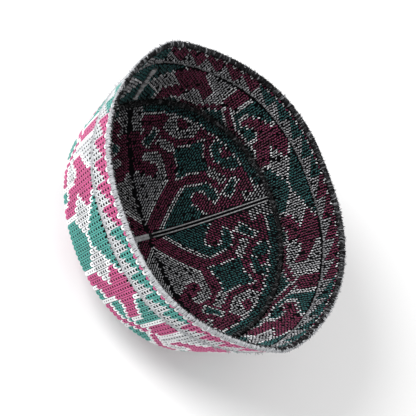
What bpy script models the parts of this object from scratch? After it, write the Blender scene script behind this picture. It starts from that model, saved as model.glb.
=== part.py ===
"""Kufi cap, resting on its crown with the opening up.

Frame: the origin is under the middle of the crown, on the surface that the cap rests on. +Z points up,
out of the opening. +Y points to the rear corner, where the wall's closing seam is, and +X to the right.
"""

from math import pi

import bmesh
import bpy
import numpy as np

# Rim, the middle line of the wall's free edge, seen from above as a pointed oval
RIM_HALF_LENGTH = 0.103
RIM_HALF_WIDTH = {"left": 0.0848, "right": 0.0836}
RIM_FULLNESS = 2.52
RIM_CORNER_POWER = {
    ("left", "rear"): 1.65,
    ("right", "rear"): 1.25,
    ("left", "front"): 1.31,
    ("right", "front"): 1.74,
}
CORNER_SOFTENING = 0.0045

# Crown edge, where the crown is sewn to the wall
CROWN_CENTRE = (0.0011, 0.0005)
CROWN_HALF_LENGTH = 0.0836
CROWN_HALF_WIDTH = 0.0841
CROWN_POWER = 2.23
CROWN_EDGE_DEPTH = 0.0593
CROWN_END_DROP = 0.0028

# Dome of the crown below its edge
DOME_DEPTH = 0.0350
DOME_POWER = 1.85
FLAT_RADIUS = 0.24

# Fold along the crown's long axis, from keeping the cap folded flat
FOLD_DEPTH = 0.0014
FOLD_WIDTH = 0.008
FOLD_FADE = 0.15

# Cloth and trims
CLOTH = 0.0022
GAP = 0.0003
OVERLOCK_RADIUS = 0.0016
SEAM_RIDGE_RADIUS = 0.0013
WELT_WIDTH = 0.0016
WELT_THICKNESS = 0.0009
WELT_SPACING = 0.0030
WELT_REACH = 0.92
TAPE_WIDTH = 0.0022
TAPE_THICKNESS = 0.0008
TAPE_REACH = (0.10, 0.72)

# Colours of the cloth and the trims
ROSE = (0.62, 0.34, 0.44)
TEAL = (0.22, 0.45, 0.42)
LIGHT_GREY = (0.62, 0.63, 0.65)
MID_GREY = (0.42, 0.43, 0.45)
BLACK = (0.02, 0.02, 0.025)
CLOTH_ROUGHNESS = 0.85

# Facets
HALF_STEPS = 48
WALL_ROWS = 7
DOME_RINGS = (FLAT_RADIUS, 0.36, 0.48, 0.60, 0.71, 0.81, 0.90, 0.96, 1.0)
TUBE_SIDES = 8
STRIP_STEPS = 40
FINE_STEPS = 1440

RIM_HEIGHT = CROWN_EDGE_DEPTH + DOME_DEPTH * (1 - FLAT_RADIUS**DOME_POWER) + CLOTH / 2


def unit(vectors):
    """Vectors scaled to length one."""
    return vectors / np.linalg.norm(vectors, axis=-1, keepdims=True)


def resample(curve, count):
    """Points at equal steps along an open curve."""
    steps = np.linalg.norm(np.diff(curve, axis=0), axis=1)
    along = np.concatenate([[0.0], np.cumsum(steps)])
    places = np.linspace(0.0, along[-1], count + 1)
    return np.stack([np.interp(places, along, curve[:, k]) for k in range(3)], axis=1)


def soften(points, radius):
    """Round the corners of a closed curve by averaging each point with its neighbours."""
    step = np.linalg.norm(np.roll(points, -1, axis=0) - points, axis=1).mean()
    reach = int(round(radius / step))
    total = np.zeros_like(points)
    for shift in range(-reach, reach + 1):
        total += np.roll(points, shift, axis=0)
    return total / (2 * reach + 1)


def rim_side(side):
    """One side of the rim from the rear corner to the front corner."""
    turn = np.linspace(pi / 2, -pi / 2, FINE_STEPS + 1)
    along = np.sin(turn)
    power = np.where(along > 0, RIM_CORNER_POWER[side, "rear"], RIM_CORNER_POWER[side, "front"])
    swell = np.maximum(0.0, 1 - np.abs(along) ** RIM_FULLNESS) ** (1 / power)
    sign = 1 if side == "right" else -1
    across = sign * RIM_HALF_WIDTH[side] * swell
    return np.stack([across, RIM_HALF_LENGTH * along, np.full_like(along, RIM_HEIGHT)], axis=1)


def rim_curve():
    """Closed rim curve, from the rear corner down the right side and back up the left side."""
    right = resample(rim_side("right"), FINE_STEPS // 2)
    left = resample(rim_side("left"), FINE_STEPS // 2)[::-1]
    fine = np.concatenate([right[:-1], left[:-1]])
    soft = soften(fine, CORNER_SOFTENING)
    return soft[:: FINE_STEPS // (2 * HALF_STEPS)]


def crown_edge(turn):
    """Point of the crown's sewn edge; a turn of 0 is on the right, a quarter turn is at the rear."""
    cosine = np.cos(turn)
    across = np.sign(cosine) * np.abs(cosine) ** (2 / CROWN_POWER)
    x = CROWN_CENTRE[0] + CROWN_HALF_WIDTH * across
    y = CROWN_CENTRE[1] + CROWN_HALF_LENGTH * np.sin(turn)
    z = RIM_HEIGHT - CROWN_EDGE_DEPTH - CROWN_END_DROP * np.sin(turn) ** 2
    return np.stack([x, y, z], axis=-1)


def crown_curve():
    """Closed crown edge with points that match those of the rim."""
    right = resample(crown_edge(np.linspace(pi / 2, -pi / 2, FINE_STEPS)), HALF_STEPS)
    left = resample(crown_edge(np.linspace(3 * pi / 2, pi / 2, FINE_STEPS)), HALF_STEPS)
    return np.concatenate([right[:-1], left[:-1]])


def dome(edge, reach):
    """Middle of the crown's cloth between its centre, reach 0, and the points of its edge, reach 1."""
    drop = DOME_DEPTH * (1 - np.maximum(reach, FLAT_RADIUS) ** DOME_POWER)
    point = np.empty_like(edge)
    point[..., 0] = CROWN_CENTRE[0] + reach * (edge[..., 0] - CROWN_CENTRE[0])
    point[..., 1] = CROWN_CENTRE[1] + reach * (edge[..., 1] - CROWN_CENTRE[1])
    level = RIM_HEIGHT - CROWN_EDGE_DEPTH
    end_drop = (edge[..., 2] - level) * max(reach - FLAT_RADIUS, 0) / (1 - FLAT_RADIUS)
    near_fold = np.maximum(0.0, 1 - np.abs(point[..., 0] - CROWN_CENTRE[0]) / FOLD_WIDTH)
    fade = np.clip(min(reach - FLAT_RADIUS, 1 - reach) / FOLD_FADE, 0.0, 1.0)
    point[..., 2] = level - drop + end_drop - FOLD_DEPTH * near_fold * fade
    return point


def mitre(wall_direction, crown_direction):
    """Direction into the corner between wall and crown, and the corner's half angle as a sine."""
    inward = unit(wall_direction + crown_direction)
    cosine = np.sum(wall_direction * crown_direction, axis=1, keepdims=True)
    return inward, np.sqrt((1 - cosine) / 2)


def corner(rim, edge):
    """Mitre of each point of the sewn corner: inward direction, sine of the half angle, wall direction."""
    wall_direction = unit(rim - edge)
    crown_direction = unit(dome(edge, DOME_RINGS[-2]) - edge)
    inward, sine = mitre(wall_direction, crown_direction)
    return inward, sine, wall_direction, crown_direction


def away(direction, inward):
    """The part of a direction that is square to the mitre, at length one."""
    return unit(direction - inward * np.sum(direction * inward, axis=1, keepdims=True))


def ring_normals(ring, up):
    """Normals of a closed ring of points on a surface that runs along up, pointing out of the cap."""
    along = np.roll(ring, -1, axis=0) - np.roll(ring, 1, axis=0)
    normal = unit(np.cross(up, along))
    centre = ring.mean(axis=0)
    if np.sum(normal * (ring - centre)) < 0:
        normal = -normal
    return normal


def add_object(name, vertices, faces, colour):
    """Object with its own material from points and faces in metres."""
    mesh = bpy.data.meshes.new(name)
    mesh.from_pydata([tuple(point) for point in vertices], [], faces)
    build = bmesh.new()
    build.from_mesh(mesh)
    bmesh.ops.recalc_face_normals(build, faces=build.faces)
    build.to_mesh(mesh)
    build.free()
    mesh.shade_smooth()
    mesh.set_sharp_from_angle(angle=pi / 4)
    material = bpy.data.materials.new(name)
    material.use_nodes = True
    surface = material.node_tree.nodes["Principled BSDF"]
    surface.inputs["Base Color"].default_value = (*colour, 1.0)
    surface.inputs["Roughness"].default_value = CLOTH_ROUGHNESS
    surface.inputs["Metallic"].default_value = 0.0
    mesh.materials.append(material)
    item = bpy.data.objects.new(name, mesh)
    bpy.context.collection.objects.link(item)


def loft(rings):
    """Points and faces of rings of equal length, each joined to the next and the last to the first."""
    count = len(rings[0])
    vertices = np.concatenate(rings)
    faces = []
    for r in range(len(rings)):
        here = r * count
        there = ((r + 1) % len(rings)) * count
        for i in range(count):
            j = (i + 1) % count
            faces.append((here + i, here + j, there + j, there + i))
    return vertices, faces


def side_band(rim, edge):
    """The flared wall between the sewn corner and the overlock roll."""
    inward, sine, wall_direction, _ = corner(rim, edge)
    shift = away(wall_direction, inward) * GAP / 2
    foot_inner = edge + inward * CLOTH / 2 / sine + shift
    foot_outer = edge - inward * CLOTH / 2 / sine + shift
    top = rim - wall_direction * (OVERLOCK_RADIUS + GAP)
    inner = []
    outer = []
    for row in range(1, WALL_ROWS + 1):
        share = row / WALL_ROWS
        middle = edge + (top - edge) * share
        normal = ring_normals(middle, wall_direction)
        inner.append(middle - normal * CLOTH / 2)
        outer.append(middle + normal * CLOTH / 2)
    rings = [foot_outer] + outer + inner[::-1] + [foot_inner]
    vertices, faces = loft(rings)
    add_object("side_band", vertices, faces, ROSE)


def crown_half(name, rim, edge, first, sign):
    """One half of the crown; sign is +1 for the rear half and -1 for the front half."""
    inward, sine, _, crown_direction = corner(rim, edge)
    shift = away(crown_direction, inward) * GAP / 2
    picks = np.arange(first, first + HALF_STEPS + 1) % len(edge)
    count = len(picks)
    rings_in = []
    rings_out = []
    for reach in DOME_RINGS[:-1]:
        middle = dome(edge, reach)
        slope = unit(dome(edge, reach + 0.01) - dome(edge, reach))
        normal = ring_normals(middle, slope)
        if reach == FLAT_RADIUS:
            normal = np.tile((0.0, 0.0, -1.0), (len(edge), 1))
        rings_in.append((middle - normal * CLOTH / 2)[picks])
        rings_out.append((middle + normal * CLOTH / 2)[picks])
    rings_in.append((edge + inward * CLOTH / 2 / sine + shift)[picks])
    rings_out.append((edge - inward * CLOTH / 2 / sine + shift)[picks])
    centre = dome(edge[:1], 0.0)[0]
    lift = np.array((0.0, 0.0, CLOTH / 2))
    vertices = np.concatenate([[centre + lift, centre - lift]] + rings_in + rings_out)
    squeeze = 1 - GAP / 2 / CROWN_HALF_LENGTH
    vertices[:, 1] = CROWN_CENTRE[1] + (vertices[:, 1] - CROWN_CENTRE[1]) * squeeze + sign * GAP / 2
    inside = 2
    outside = 2 + len(rings_in) * count
    faces = []
    for i in range(count - 1):
        faces.append((0, inside + i, inside + i + 1))
        faces.append((1, outside + i + 1, outside + i))
    for base in (inside, outside):
        for r in range(len(rings_in) - 1):
            for i in range(count - 1):
                here = base + r * count + i
                faces.append((here, here + count, here + count + 1, here + 1))
    last = (len(rings_in) - 1) * count
    for i in range(count - 1):
        faces.append((inside + last + i, outside + last + i, outside + last + i + 1, inside + last + i + 1))
    for end in (0, count - 1):
        faces.append((0, inside + end, outside + end, 1))
        for r in range(len(rings_in) - 1):
            here = r * count + end
            faces.append((inside + here, inside + here + count, outside + here + count, outside + here))
    add_object(name, vertices, faces, TEAL)


def tube(name, centres, radius, colour):
    """Closed round cord along a closed curve, with its cross section square to the curve."""
    along = unit(np.roll(centres, -1, axis=0) - np.roll(centres, 1, axis=0))
    up = np.array((0.0, 0.0, 1.0))
    out = unit(np.cross(along, up))
    rise = np.cross(out, along)
    rings = []
    for side in range(TUBE_SIDES):
        turn = 2 * pi * side / TUBE_SIDES
        rings.append(centres + radius * (np.cos(turn) * out + np.sin(turn) * rise))
    vertices, faces = loft(rings)
    add_object(name, vertices, faces, colour)


def strip(name, middle, across, normal, width, thickness, colour):
    """Thin band of cloth lying GAP above a surface, along the points of its middle."""
    low = normal * (CLOTH / 2 + GAP)
    high = low + normal * thickness
    corners = [
        middle - across * width / 2 + low,
        middle + across * width / 2 + low,
        middle + across * width / 2 + high,
        middle - across * width / 2 + high,
    ]
    count = len(middle)
    vertices = np.concatenate(corners)
    faces = [(0, count, 2 * count, 3 * count)]
    faces.append((3 * count + count - 1, 3 * count - 1, 2 * count - 1, count - 1))
    for c in range(4):
        here = c * count
        there = ((c + 1) % 4) * count
        for i in range(count - 1):
            faces.append((here + i, here + i + 1, there + i + 1, there + i))
    add_object(name, vertices, faces, colour)


def cross_seam_welt(name, sign):
    """Welt along the inside of the cross seam; sign is +1 behind the seam and -1 before it."""
    reach = np.linspace(-WELT_REACH, WELT_REACH, STRIP_STEPS + 1)
    middle = []
    for share in reach:
        side = crown_edge(np.array([0.0 if share > 0 else pi]))
        middle.append(dome(side, abs(share))[0])
    middle = np.array(middle)
    slope = unit(np.gradient(middle, axis=0))
    across = np.tile((0.0, 1.0, 0.0), (len(middle), 1))
    normal = unit(np.cross(slope, across))
    middle = middle + across * sign * WELT_SPACING / 2
    strip(name, middle, across, normal, WELT_WIDTH, WELT_THICKNESS, MID_GREY)


def band_seam_tape(rim, edge):
    """Strip over the wall's closing seam, inside the rear corner."""
    share = np.linspace(TAPE_REACH[0], TAPE_REACH[1], STRIP_STEPS // 4 + 1)[:, None]
    middle = edge[:1] + (rim[:1] - edge[:1]) * share
    slope = unit(rim[:1] - edge[:1])
    across = np.tile((1.0, 0.0, 0.0), (len(middle), 1))
    normal = np.cross(across, np.tile(slope, (len(middle), 1)))
    strip("band_seam_tape", middle, across, normal, TAPE_WIDTH, TAPE_THICKNESS, MID_GREY)


def crown_seam_ridge(rim, edge):
    """Round seam allowance in the inner corner between crown and wall."""
    inward, sine, _, _ = corner(rim, edge)
    centres = edge + inward * (CLOTH / 2 + GAP + SEAM_RIDGE_RADIUS) / sine
    tube("crown_seam_ridge", centres, SEAM_RIDGE_RADIUS, BLACK)


def build():
    """Model every piece of the cap."""
    for item in list(bpy.data.objects):
        bpy.data.objects.remove(item)
    rim = rim_curve()
    edge = crown_curve()
    side_band(rim, edge)
    crown_half("crown_front_half", rim, edge, HALF_STEPS // 2, -1)
    crown_half("crown_rear_half", rim, edge, HALF_STEPS * 3 // 2, 1)
    tube("rim_overlock", rim, OVERLOCK_RADIUS, LIGHT_GREY)
    crown_seam_ridge(rim, edge)
    cross_seam_welt("cross_seam_front_welt", -1)
    cross_seam_welt("cross_seam_rear_welt", 1)
    band_seam_tape(rim, edge)


build()
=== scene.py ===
"""Embroidered kufi cap resting on its crown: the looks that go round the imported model.

The file is laid out as a Blender add-on and is run as a script. Lengths are in metres, in the frame of the
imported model: +Z points out of the opening, +Y to the rear corner, where the wall's closing seam is, and +X
to the right. A place round the cap runs from 0 at the rear corner, down the right side, to 1. A depth on
the wall runs from 0 at the rim to 1 at the crown's edge, and a reach on the crown from 0 at its centre to
1 at its edge.
"""

from math import pi

import bmesh
import bpy
import numpy as np
from mathutils import Matrix, Vector


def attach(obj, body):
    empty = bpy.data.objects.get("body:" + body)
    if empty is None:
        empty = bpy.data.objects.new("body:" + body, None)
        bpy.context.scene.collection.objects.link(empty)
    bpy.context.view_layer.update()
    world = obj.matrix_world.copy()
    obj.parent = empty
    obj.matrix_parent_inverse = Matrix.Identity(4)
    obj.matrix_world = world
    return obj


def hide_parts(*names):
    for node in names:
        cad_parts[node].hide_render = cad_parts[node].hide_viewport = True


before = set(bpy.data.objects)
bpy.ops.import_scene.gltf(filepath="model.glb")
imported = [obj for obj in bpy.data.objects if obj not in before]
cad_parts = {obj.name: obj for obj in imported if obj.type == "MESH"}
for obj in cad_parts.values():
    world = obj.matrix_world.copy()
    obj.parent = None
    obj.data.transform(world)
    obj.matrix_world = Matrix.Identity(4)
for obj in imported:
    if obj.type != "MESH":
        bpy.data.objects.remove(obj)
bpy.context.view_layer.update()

bl_info = {
    "name": "Embroidered Kufi Cap",
    "version": (1, 0, 0),
    "blender": (4, 5, 0),
    "location": "3D View > Sidebar > Kufi Cap",
    "description": "Builds an embroidered kufi cap of cloth, stitches, seams and overlocked rim",
    "category": "Object",
}

# Rim and crown edge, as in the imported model
RIM_HALF_LENGTH = 0.103
RIM_HALF_WIDTH = {"left": 0.0848, "right": 0.0836}
RIM_FULLNESS = 2.52
RIM_CORNER_POWER = {
    ("left", "rear"): 1.65,
    ("right", "rear"): 1.25,
    ("left", "front"): 1.31,
    ("right", "front"): 1.74,
}
CORNER_SOFTENING = 0.0045
CROWN_CENTRE = np.array((0.0011, 0.0005))
CROWN_HALF_LENGTH = 0.0836
CROWN_HALF_WIDTH = 0.0841
CROWN_POWER = 2.23
CROWN_EDGE_DEPTH = 0.0593
CROWN_END_DROP = 0.0028
DOME_DEPTH = 0.0350
DOME_POWER = 1.85
FLAT_RADIUS = 0.24
FLAT_BLEND = 5
FOLD_DEPTH = 0.0014
FOLD_WIDTH = 0.008
FOLD_FADE = 0.15
CAD_CLOTH = 0.0022
RIM_HEIGHT = CROWN_EDGE_DEPTH + DOME_DEPTH * (1 - FLAT_RADIUS**DOME_POWER) + CAD_CLOTH / 2
FINE_STEPS = 1440
CURVE_STEPS = 480

# Camera, fitted to the photograph: rows of the turn are its right, up and back
CAMERA_TURN = (
    (0.7445, -0.3379, 0.5758),
    (0.1936, 0.9347, 0.2981),
    (-0.6390, -0.1105, 0.7613),
)
RIM_IN_CAMERA = (0.0134, 0.0079, -1.767)
CAMERA_LENS = 244.2
CAMERA_SENSOR = 36.0

# Charts of the embroidery. Band shapes are in rows from the middle of a bar and in stitches from the rim.
UNIT_ROWS = 40
BAR_ROW = 20
BAND_STITCHES = 21
BAND_START = 0.041
BAND_END = 0.983
BAND_BULGE = 0.0015
WALL_SLANT = 0.063
ROW_DRIFT = (
    (0, 0.0), (20, -0.4), (40, -0.8), (60, -1.2), (80, -0.8), (100, -0.8), (120, 0.0), (140, 0.4), (160, 0.0),
)
BAR = ((-0.5, 5.5), (1.5, 5.5), (1.5, 14.5), (-0.5, 14.5))
FOOT = ((-0.5, 16.5), (0.0, 16.5), (3.0, 19.5), (3.0, 20.5), (-0.5, 20.5))
LEG = ((0.5, 13.5), (1.0, 14.5), (5.0, 18.5), (8.5, 18.5), (8.5, 20.5), (5.0, 20.5), (0.5, 16.0))
LEG_TIP = (15, 16)
HOOK = (
    (8.5, 5.5), (8.5, 8.0), (4.5, 12.0), (4.5, 15.5), (5.5, 15.5), (5.5, 14.5), (6.5, 14.5), (6.5, 13.5),
    (8.5, 13.5), (8.5, 14.5), (9.5, 14.5), (9.5, 20.5), (20.5, 20.5), (20.5, 5.5),
)
ARCH = ((9.5, 18.5), (11.5, 18.5), (11.5, 20.5), (9.5, 20.5))
TRIANGLE = ((13.5, 5.5), (13.5, 7.0), (19.0, 12.5), (20.5, 12.5), (20.5, 5.5))
DIAMOND = ((12.5, 13.0), (15.5, 10.0), (18.5, 13.0), (15.5, 16.0))
HOUSE = ((20.5, 13.5), (19.0, 13.5), (15.5, 17.0), (15.5, 20.5), (20.5, 20.5))
TOOTH_STITCHES = 5
LINE_STITCH = 6
LINE_DEPTH = 0.33

# Crown shapes are in millimetres along and across the axis of a sector, which is mirrored about its axis
CHART_SCALE = np.array((0.00102, 0.000969))
FIELD = (
    (6.8, -0.1), (33.1, 26.3), (44.5, 25.3), (49.8, 24.5), (53.5, 19.5), (54.8, 14.5), (54.3, 10.3),
    (51.8, 7.5), (49.8, 9.8), (47.8, 13.0), (46.8, 16.5), (44.8, 18.8), (42.0, 19.2), (38.3, 16.5),
    (38.5, 13.0), (45.2, 2.9), (44.7, -0.1),
)
SQUARE = (
    (30.6, 30.8), (41.8, 32.2), (53.0, 30.8), (51.6, 42.0),
    (53.0, 53.2), (41.8, 51.8), (30.6, 53.2), (32.0, 42.0),
)
PATCH = (
    (55.0, 46.5), (61.5, 53.0), (67.0, 46.0), (67.0, 42.3), (61.5, 42.3), (61.5, 36.3), (67.0, 36.3),
    (70.5, 36.0), (72.5, 31.0), (69.0, 26.3), (65.5, 26.0), (61.0, 29.5), (56.8, 35.5), (55.5, 41.0),
)
STEM = ((49.6, 31.2), (53.4, 33.8), (62.8, 22.6), (58.2, 18.4))
LOZENGE = ((55.6, 13.0), (64.8, 23.5), (69.8, 19.0), (60.6, 8.6))
LOZENGE_CORE = ((58.2, 13.2), (64.7, 20.6), (67.2, 18.3), (60.8, 11.1))
END_PATCH = ((69.5, -0.1), (66.5, 10.5), (68.5, 12.0), (72.5, 8.0), (77.0, 10.5), (90.0, 9.0), (90.0, -0.1))
BORDER_REACH = 0.925
CHART_RADIUS = 82.0

# Widths of the crown's outlines in millimetres, and how much wider the field's straight side has them
OUTER_LINE = 2.0
INNER_LINE = 1.25
FIELD_SIDE_LINE = 2.9

# Cloth
BAND_GIRTH = 0.6
BAND_NARROWING = 0.07
BAND_RINGS = 13
CROWN_TURNS = np.linspace(0.0, pi, 121)
CROWN_REACHES = np.array(
    (0.06, 0.12, 0.18, 0.24, 0.30, 0.37, 0.44, 0.51, 0.58, 0.65, 0.72, 0.79, 0.86, 0.93, 1.0)
)
HALF_GAP = 0.00001
AROUND_STEP = 0.002
CROWN_STEP = 0.0004

# Stitches. Half widths are of prong and foot, for the white ground, the colours, the outlines and the hem.
STITCH_SEED = 7
LOOP_WIDTHS = ((0.00051, 0.00056), (0.00056, 0.00061), (0.00073, 0.00073), (0.00086, 0.00080))
LOOP_ROW = 0.0035
STITCH_SINK = 0.00015
WRAP_SINK = 0.0001
STRIP_SINK = 0.0002
ROW_WAVE = 0.12
ROW_UNEVENNESS = 0.16
CROWN_ROWS = 26
CROWN_STITCHES = 54
CROWN_END = 0.99
DASH_SIDE = 0.25
DASH_LAG = 0.4

# Depths between which the inner stitches lie, and their distances from line, fold, crease and welts
INNER_START = 0.05
INNER_END = 0.975
LINE_CLEARANCE = 0.014
FOLD_CLEARANCE = 0.0016
CREASE_CLEARANCE = 0.0008
WELT_CLEARANCE = (0.0025, 0.0023)

# Overlock and seams, with the numbers of their threads. The yarn changes at one of four angles of the roll.
ROLL_DROP = 0.0010
ROLL_RADIUS = 0.0014
CORD_SIDES = 12
YARN_CHANGES = pi * np.array((0.22, 0.34, 0.54, 0.76))
LIGHT_WRAPS = 900
DARK_WRAPS = 960
LINE_FIBRES = 800
SEAM_INSET = 0.0019
SEAM_RADIUS = 0.0012
SEAM_WRAPS = 620
SEAM_FIBRES = 1800
WELT_STITCHES = 230
TAPE_STITCHES = 40

# Materials
FUZZ_SCALE = 2600.0
DYE_SCALE = 190.0
# Strength of the painted shade and highlight along a thread's twist
GROOVE_SHADE = 0.07
THREAD_VALUE = 0.95
CLOTH_THREADS = 1600.0
LINT_SCALE = 420.0
CORD_FUZZ_SCALE = 900.0

# Stage
FLOOR_SIZE = 8.0
KEY_PLACE = (-1.26, 0.95, 1.22)
KEY_AIM = (0.0, 0.0, 0.05)
KEY_SIZE = 0.9


def unit(vectors):
    """Vectors scaled to length one."""
    return vectors / np.linalg.norm(vectors, axis=-1, keepdims=True)


# Curves and surfaces of the cap


def resample(curve, count):
    """Points at equal steps along an open curve."""
    steps = np.linalg.norm(np.diff(curve, axis=0), axis=1)
    along = np.concatenate([[0.0], np.cumsum(steps)])
    places = np.linspace(0.0, along[-1], count + 1)
    return np.stack([np.interp(places, along, curve[:, k]) for k in range(3)], axis=1)


def rim_side(side):
    """One side of the rim from the rear corner to the front corner."""
    along = np.sin(np.linspace(pi / 2, -pi / 2, FINE_STEPS + 1))
    power = np.where(along > 0, RIM_CORNER_POWER[side, "rear"], RIM_CORNER_POWER[side, "front"])
    swell = np.maximum(0.0, 1 - np.abs(along) ** RIM_FULLNESS) ** (1 / power)
    sign = 1 if side == "right" else -1
    across = sign * RIM_HALF_WIDTH[side] * swell
    return np.stack([across, RIM_HALF_LENGTH * along, np.full_like(along, RIM_HEIGHT)], axis=1)


def rim_curve():
    """Closed rim curve with softened corners."""
    right = resample(rim_side("right"), FINE_STEPS // 2)
    left = resample(rim_side("left"), FINE_STEPS // 2)[::-1]
    fine = np.concatenate([right[:-1], left[:-1]])
    step = np.linalg.norm(np.roll(fine, -1, axis=0) - fine, axis=1).mean()
    reach = int(round(CORNER_SOFTENING / step))
    total = np.zeros_like(fine)
    for shift in range(-reach, reach + 1):
        total += np.roll(fine, shift, axis=0)
    soft = total / (2 * reach + 1)
    return soft[:: FINE_STEPS // CURVE_STEPS]


def crown_edge(turn):
    """Point of the crown's sewn edge; a turn of 0 is on the right, a quarter turn is at the rear."""
    cosine = np.cos(turn)
    across = np.sign(cosine) * np.abs(cosine) ** (2 / CROWN_POWER)
    x = CROWN_CENTRE[0] + CROWN_HALF_WIDTH * across
    y = CROWN_CENTRE[1] + CROWN_HALF_LENGTH * np.sin(turn)
    z = RIM_HEIGHT - CROWN_EDGE_DEPTH - CROWN_END_DROP * np.sin(turn) ** 2
    return np.stack([x, y, z], axis=-1)


def crown_curve():
    """Closed crown edge with points that match those of the rim."""
    right = resample(crown_edge(np.linspace(pi / 2, -pi / 2, FINE_STEPS)), CURVE_STEPS // 2)
    left = resample(crown_edge(np.linspace(3 * pi / 2, pi / 2, FINE_STEPS)), CURVE_STEPS // 2)
    return np.concatenate([right[:-1], left[:-1]])


def level_outward(curve):
    """Level direction away from the cap at every point of a closed curve."""
    along = np.roll(curve, -1, axis=0) - np.roll(curve, 1, axis=0)
    return unit(np.stack([-along[:, 1], along[:, 0], np.zeros(len(curve))], axis=1))


RIM = rim_curve()
EDGE = crown_curve()
OUTWARD = level_outward(RIM + EDGE)
EDGE_TURN = np.unwrap(np.arctan2(EDGE[:, 1] - CROWN_CENTRE[1], EDGE[:, 0] - CROWN_CENTRE[0]))
EDGE_REACH = np.hypot(EDGE[:, 0] - CROWN_CENTRE[0], EDGE[:, 1] - CROWN_CENTRE[1])


def on_curve(curve, place):
    """Points of a closed curve at places from 0 to 1 round it."""
    grid = np.arange(CURVE_STEPS + 1) / CURVE_STEPS
    wrapped = np.vstack([curve, curve[:1]])
    return np.stack([np.interp(np.mod(place, 1.0), grid, wrapped[:, k]) for k in range(3)], axis=-1)


def on_wall(place, depth):
    """Middle of the wall's cloth, a little fuller at half its height than a straight wall."""
    rim = on_curve(RIM, place)
    edge = on_curve(EDGE, place)
    depth = np.asarray(depth)[..., None]
    return rim + (edge - rim) * depth + BAND_BULGE * np.sin(pi * depth) * on_curve(OUTWARD, place)


def edge_at(turn):
    """Radius and height of the crown's edge in the direction of a turn about its centre."""
    order = np.argsort(np.mod(EDGE_TURN, 2 * pi))
    turns = np.mod(EDGE_TURN, 2 * pi)[order]
    radius = np.interp(turn, turns, EDGE_REACH[order], period=2 * pi)
    height = np.interp(turn, turns, EDGE[order, 2], period=2 * pi)
    return radius, height


def on_crown(x, y):
    """Middle of the crown's cloth at places seen from above, measured from the crown's centre."""
    radius, height = edge_at(np.mod(np.arctan2(y, x), 2 * pi))
    reach = np.hypot(x, y) / radius
    soft = (reach**FLAT_BLEND + FLAT_RADIUS**FLAT_BLEND) ** (1 / FLAT_BLEND)
    level = RIM_HEIGHT - CROWN_EDGE_DEPTH
    end_drop = (height - level) * np.maximum(reach - FLAT_RADIUS, 0) / (1 - FLAT_RADIUS)
    near_fold = np.maximum(0.0, 1 - np.abs(x) / FOLD_WIDTH)
    fade = np.clip(np.minimum(reach - FLAT_RADIUS, 1 - reach) / FOLD_FADE, 0.0, 1.0)
    z = level - DOME_DEPTH * (1 - soft**DOME_POWER) + end_drop - FOLD_DEPTH * near_fold * fade
    return np.stack([x + CROWN_CENTRE[0], y + CROWN_CENTRE[1], z], axis=-1)


def wall_frame(place, depth):
    """Point, outward normal and direction to the rim of the wall."""
    point = on_wall(place, depth)
    around = on_wall(place + AROUND_STEP, depth) - on_wall(place - AROUND_STEP, depth)
    up = unit(on_curve(RIM, place) - on_curve(EDGE, place))
    normal = unit(np.cross(up, around))
    return point, normal, up


def crown_frame(x, y, heading):
    """Point, outward normal and direction along the heading of the crown."""
    step = CROWN_STEP
    point = on_crown(x, y)
    east = on_crown(x + step, y) - on_crown(x - step, y)
    north = on_crown(x, y + step) - on_crown(x, y - step)
    normal = -unit(np.cross(east, north))
    ahead = on_crown(x + heading[..., 0] * step, y + heading[..., 1] * step)
    behind = on_crown(x - heading[..., 0] * step, y - heading[..., 1] * step)
    return point, normal, unit(ahead - behind)


# Charts of the embroidery


def inside(shape, x, y):
    """Whether places lie inside a closed outline."""
    corners = np.array(shape)
    hit = np.zeros(np.shape(x), dtype=bool)
    for (x0, y0), (x1, y1) in zip(corners, np.roll(corners, -1, axis=0)):
        crosses = (y0 > y) != (y1 > y)
        rise = np.where(y1 == y0, 1.0, y1 - y0)
        hit ^= crosses & (x < x0 + (y - y0) / rise * (x1 - x0))
    return hit


WHITE, TEAL, PINK, OUTLINE = 0, 1, 2, 3
STITCH_KIND = np.array((0, 1, 1, 2))
HEM_KIND = 3


def paint(chart, within, colour):
    """Fill a shape of the band's chart, with an outline one stitch wide round it."""
    wide = within | np.roll(within, 1, axis=0) | np.roll(within, -1, axis=0)
    wide[:, 1:] |= within[:, :-1]
    wide[:, :-1] |= within[:, 1:]
    chart[wide] = OUTLINE
    chart[within] = colour


def band_chart(rows):
    """Colour of every stitch of the band, by stitch row and stitch from the rim."""
    row, stitch = np.meshgrid(np.arange(rows), np.arange(BAND_STITCHES), indexing="ij")
    turn = np.mod(row - BAR_ROW, UNIT_ROWS)
    right = turn > UNIT_ROWS / 2
    fold = np.where(right, UNIT_ROWS - turn, turn)
    chart = np.where(right, WHITE, TEAL)
    paint(chart, inside(BAR, fold, stitch), PINK)
    paint(chart, inside(FOOT, fold, stitch), TEAL)
    paint(chart, inside(LEG, fold, stitch), PINK)
    chart[(fold == 0) & np.isin(stitch, LEG_TIP)] = OUTLINE
    paint(chart, inside(HOOK, fold, stitch), PINK)
    paint(chart, inside(ARCH, fold, stitch), TEAL)
    paint(chart, inside(TRIANGLE, fold, stitch), TEAL)
    paint(chart, inside(DIAMOND, fold, stitch), WHITE)
    paint(chart, inside(HOUSE, fold, stitch), TEAL)
    section = np.mod(np.where(row < rows / 2, turn - 1, turn), UNIT_ROWS)
    chart[stitch <= TOOTH_STITCHES] = WHITE
    teeth = stitch <= section % 4 + 1
    chart[teeth] = np.where(section < UNIT_ROWS / 2, TEAL, PINK)[teeth]
    hem = stitch == 0
    chart[hem] = np.where(section % 2 == 0, PINK, OUTLINE)[hem]
    return chart


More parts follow.
